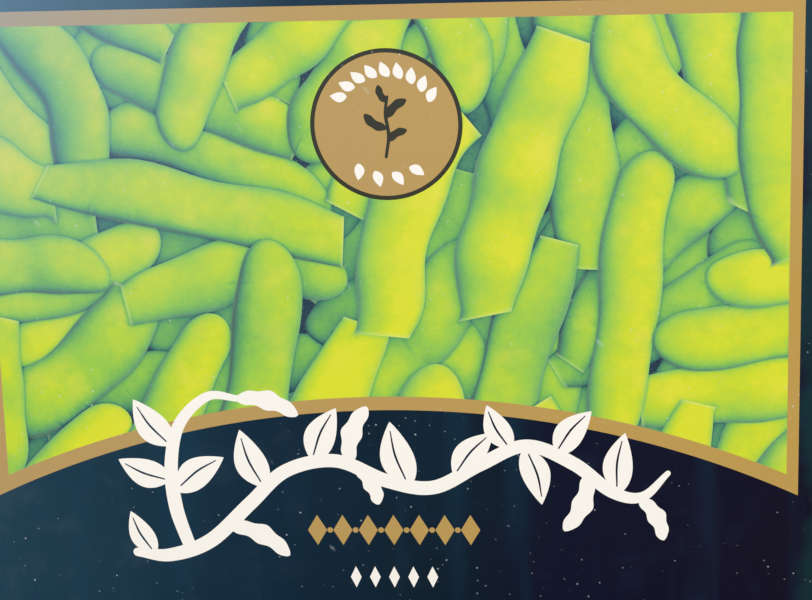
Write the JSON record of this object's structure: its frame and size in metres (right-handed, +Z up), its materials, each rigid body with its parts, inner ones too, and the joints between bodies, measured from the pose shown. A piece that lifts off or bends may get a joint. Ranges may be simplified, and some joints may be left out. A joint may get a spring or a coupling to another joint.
{
  "type": "frozen edamame carton",
  "caption": "Sealed paperboard carton filled with frozen edamame pods, with a printed front of heaped pods, a gold frame and a dark arched foot.",
  "frame": {"origin": "middle of the bottom panel, on the surface that the carton stands on", "axes": "+X across the front panel to its right, +Y from the front panel to the back panel, +Z up"},
  "size_m": [0.2, 0.04, 0.15],
  "materials": {
    "printed_board": "gloss",
    "pods": "satin"
  },
  "bodies": {
    "root": {"carton": "printed_board", "pods": "pods"}
  },
  "joints": []
}
